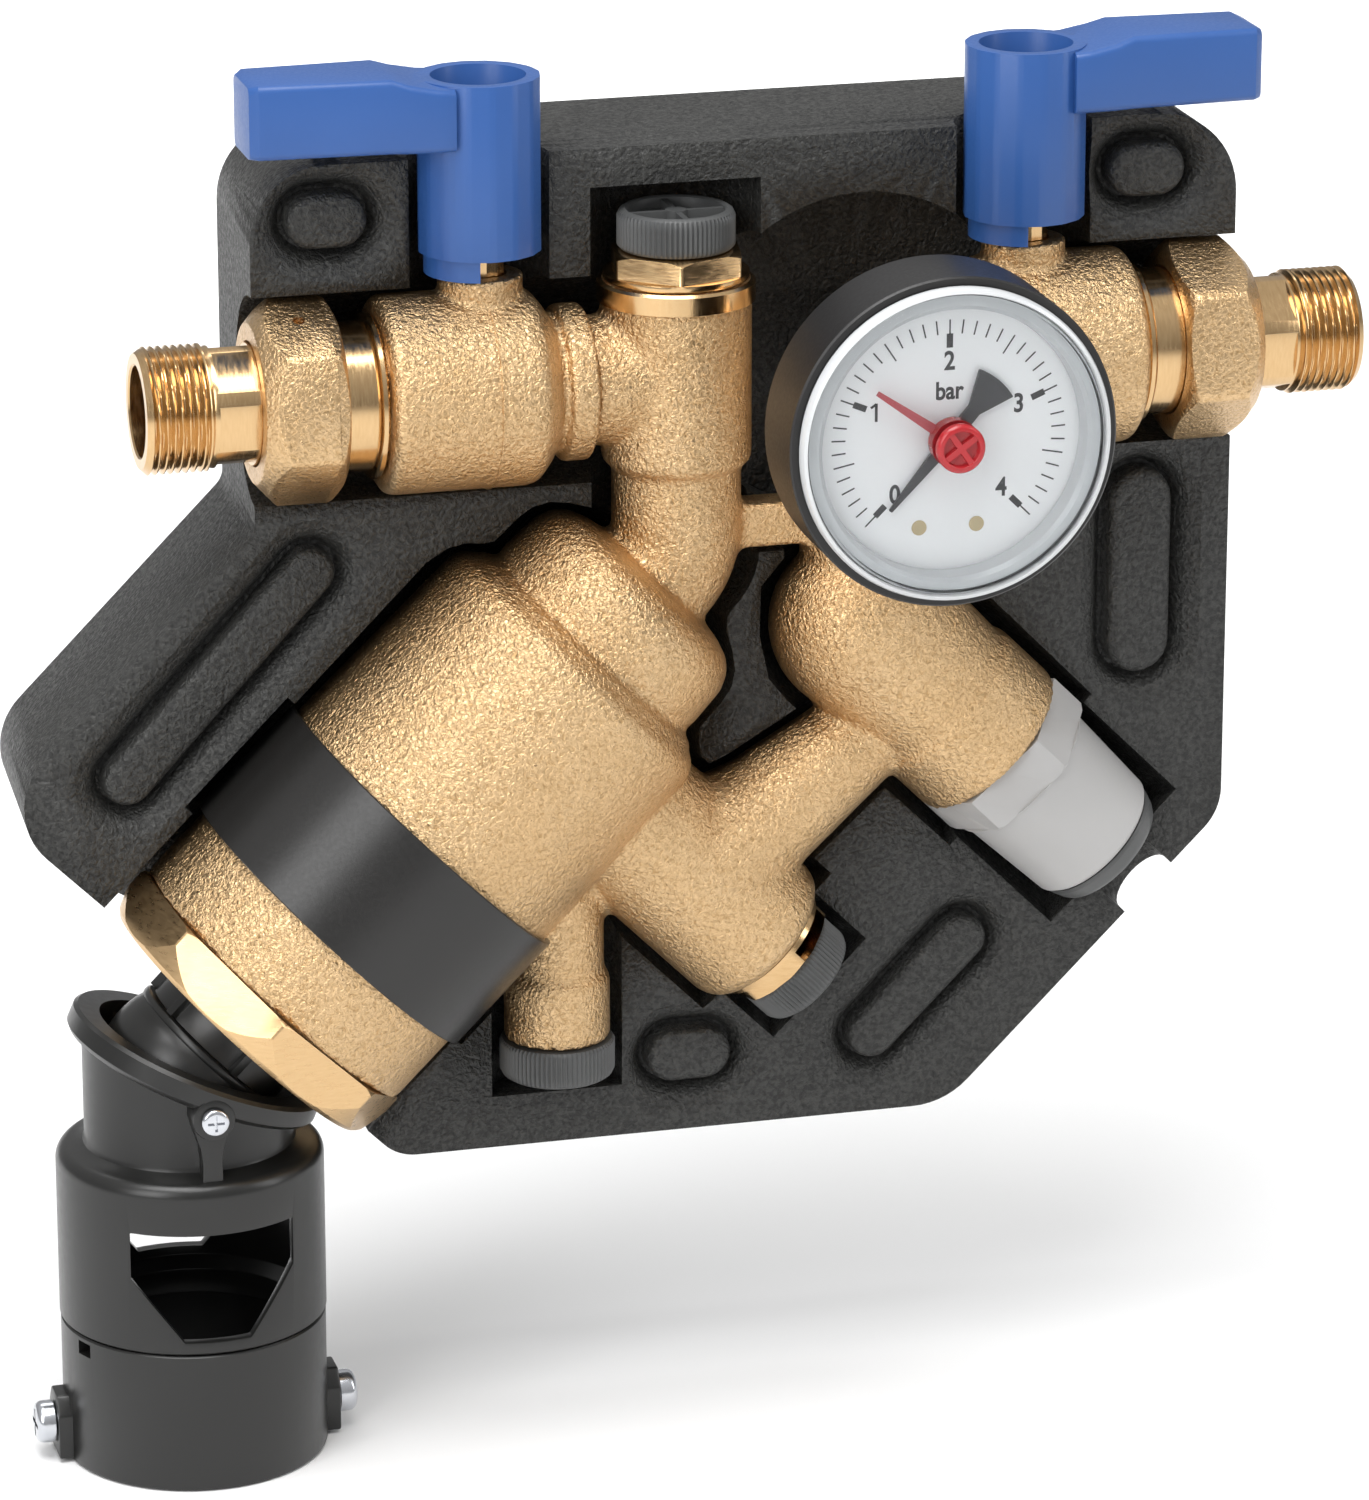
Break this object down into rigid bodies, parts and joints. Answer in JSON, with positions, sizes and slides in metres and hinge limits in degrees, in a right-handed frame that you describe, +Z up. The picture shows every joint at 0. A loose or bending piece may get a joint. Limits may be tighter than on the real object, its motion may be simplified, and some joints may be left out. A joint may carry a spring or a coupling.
{
  "type": "boiler filling unit",
  "caption": "Brass boiler filling unit with shut-off valves, backflow preventer, tundish, pressure reducer and gauge in the rear half of a foam insulation shell.",
  "frame": {"origin": "centre of the flat back of the insulation shell, level with the pipe axis and midway between the two pipe ends", "axes": "+X along the pipe from the inlet to the outlet, +Y from the gauge towards the wall, +Z up"},
  "size_m": [0.2291, 0.0913, 0.2355],
  "materials": {
    "expanded_foam": "moulded expanded foam with a bead texture",
    "cast_brass": "sand cast and shot blasted",
    "turned_brass": "turned",
    "chrome_ball": "polished",
    "white_seal": "moulded",
    "rubber": "moulded",
    "blue_plastic": "moulded, satin",
    "black_plastic": "moulded",
    "grey_plastic": "moulded",
    "light_plastic": "moulded",
    "zinc_steel": "zinc plated",
    "spring_steel": "drawn wire",
    "dial_enamel": "white printed dial",
    "red_plastic": "moulded",
    "clear_plastic": "clear moulded"
  },
  "bodies": {
    "unit": {"rear_shell": "expanded_foam", "main_body": "cast_brass", "label_band": "black_plastic", "inlet_valve_body": "cast_brass", "inlet_valve_end": "turned_brass", "inlet_seat_outer": "white_seal", "inlet_seat_inner": "white_seal", "inlet_gasket": "rubber", "inlet_tailpiece": "turned_brass", "outlet_valve_body": "cast_brass", "outlet_valve_end": "turned_brass", "outlet_seat_outer": "white_seal", "outlet_seat_inner": "white_seal", "outlet_gasket": "rubber", "outlet_tailpiece": "turned_brass", "strainer_plug": "turned_brass", "strainer": "spring_steel", "test_plug": "turned_brass", "upstream_check_housing": "black_plastic", "downstream_check_housing": "black_plastic", "relief_guide": "black_plastic", "relief_diaphragm": "rubber", "relief_spring": "spring_steel", "discharge_cup": "black_plastic", "pivot_screw_front": "zinc_steel", "pivot_screw_back": "zinc_steel", "reducer_bonnet": "light_plastic", "reducer_spring": "spring_steel", "gauge_case": "black_plastic", "gauge_stem": "turned_brass", "gauge_dial": "dial_enamel", "gauge_lens": "clear_plastic"},
    "inlet_lever": {"inlet_handle": "blue_plastic", "inlet_handle_screw": "zinc_steel", "inlet_stem": "turned_brass", "inlet_ball": "chrome_ball"},
    "inlet_nut": {"inlet_union_nut": "cast_brass"},
    "outlet_lever": {"outlet_handle": "blue_plastic", "outlet_handle_screw": "zinc_steel", "outlet_stem": "turned_brass", "outlet_ball": "chrome_ball"},
    "outlet_nut": {"outlet_union_nut": "cast_brass"},
    "strainer_cap": {"strainer_cap": "grey_plastic"},
    "drain_cap": {"drain_cap": "grey_plastic"},
    "test_cap": {"test_cap": "grey_plastic"},
    "discharge_nut": {"discharge_nut": "turned_brass"},
    "adjuster": {"reducer_adjuster": "grey_plastic"},
    "upstream_poppet": {"upstream_check_poppet": "white_seal"},
    "downstream_poppet": {"downstream_check_poppet": "white_seal"},
    "relief": {"relief_plunger": "black_plastic"},
    "reducer_piston": {"reducer_piston": "turned_brass"},
    "needle": {"gauge_needle": "black_plastic"},
    "set_pointer": {"gauge_set_pointer": "red_plastic"},
    "tundish": {"tundish_body": "black_plastic", "drain_collar": "black_plastic"},
    "clamp_left": {"clamp_screw_left": "zinc_steel"},
    "clamp_right": {"clamp_screw_right": "zinc_steel"}
  },
  "joints": [
    {"name": "inlet_handle_turn", "type": "hinge", "parent": "unit", "child": "inlet_lever", "pos_m": [-0.0464, -0.035, 0], "axis": [0, 0, 1], "range_deg": [0, 90]},
    {"name": "inlet_nut_turn", "type": "hinge", "parent": "unit", "child": "inlet_nut", "pos_m": [-0.0464, -0.035, 0], "axis": [1, 0, 0], "continuous": true},
    {"name": "outlet_handle_turn", "type": "hinge", "parent": "unit", "child": "outlet_lever", "pos_m": [0.0464, -0.035, 0], "axis": [0, 0, -1], "range_deg": [0, 90]},
    {"name": "outlet_nut_turn", "type": "hinge", "parent": "unit", "child": "outlet_nut", "pos_m": [0.0464, -0.035, 0], "axis": [1, 0, 0], "continuous": true},
    {"name": "strainer_cap_turn", "type": "hinge", "parent": "unit", "child": "strainer_cap", "pos_m": [-0.0133, -0.035, 0.02], "axis": [0, 0, 1], "continuous": true},
    {"name": "drain_cap_turn", "type": "hinge", "parent": "unit", "child": "drain_cap", "pos_m": [-0.0342, -0.035, -0.1141], "axis": [0, 0, -1], "continuous": true},
    {"name": "test_cap_turn", "type": "hinge", "parent": "unit", "child": "test_cap", "pos_m": [0.0048, -0.035, -0.10301], "axis": [0.7071, 0, -0.7071], "continuous": true},
    {"name": "discharge_nut_turn", "type": "hinge", "parent": "unit", "child": "discharge_nut", "pos_m": [-0.08401, -0.035, -0.10131], "axis": [-0.7071, 0, -0.7071], "continuous": true},
    {"name": "adjuster_turn", "type": "hinge", "parent": "unit", "child": "adjuster", "pos_m": [0.06113, -0.035, -0.08773], "axis": [0.7071, 0, -0.7071], "continuous": true},
    {"name": "upstream_check_lift", "type": "slide", "parent": "unit", "child": "upstream_poppet", "axis": [-0.7071, 0, -0.7071], "range_m": [0, 0.0035], "stiffness_N_per_m": 150, "springref_m": -0.004},
    {"name": "downstream_check_lift", "type": "slide", "parent": "unit", "child": "downstream_poppet", "axis": [0.7071, 0, -0.7071], "range_m": [0, 0.0035], "stiffness_N_per_m": 150, "springref_m": -0.004},
    {"name": "relief_lift", "type": "slide", "parent": "unit", "child": "relief", "axis": [0.7071, 0, 0.7071], "range_m": [0, 0.004]},
    {"name": "reducer_piston_drop", "type": "slide", "parent": "unit", "child": "reducer_piston", "axis": [-0.7071, 0, 0.7071], "range_m": [0, 0.0035]},
    {"name": "needle_turn", "type": "hinge", "parent": "unit", "child": "needle", "pos_m": [0.0187, -0.084, 0], "axis": [0, 1, 0], "range_deg": [0, 270], "stiffness_Nm_per_rad": 0.0001, "springref_deg": -11.46},
    {"name": "set_pointer_turn", "type": "hinge", "parent": "unit", "child": "set_pointer", "pos_m": [0.0187, -0.085, 0], "axis": [0, 1, 0], "range_deg": [-80, 190]},
    {"name": "tundish_tilt", "type": "hinge", "parent": "unit", "child": "tundish", "pos_m": [-0.0978, -0.035, -0.1151], "axis": [0, 1, 0], "range_deg": [0, 40]},
    {"name": "clamp_screw_left_turn", "type": "hinge", "parent": "tundish", "child": "clamp_left", "pos_m": [-0.1228, -0.035, -0.1753], "axis": [-1, 0, 0], "continuous": true},
    {"name": "clamp_screw_right_turn", "type": "hinge", "parent": "tundish", "child": "clamp_right", "pos_m": [-0.0728, -0.035, -0.1753], "axis": [1, 0, 0], "continuous": true}
  ]
}
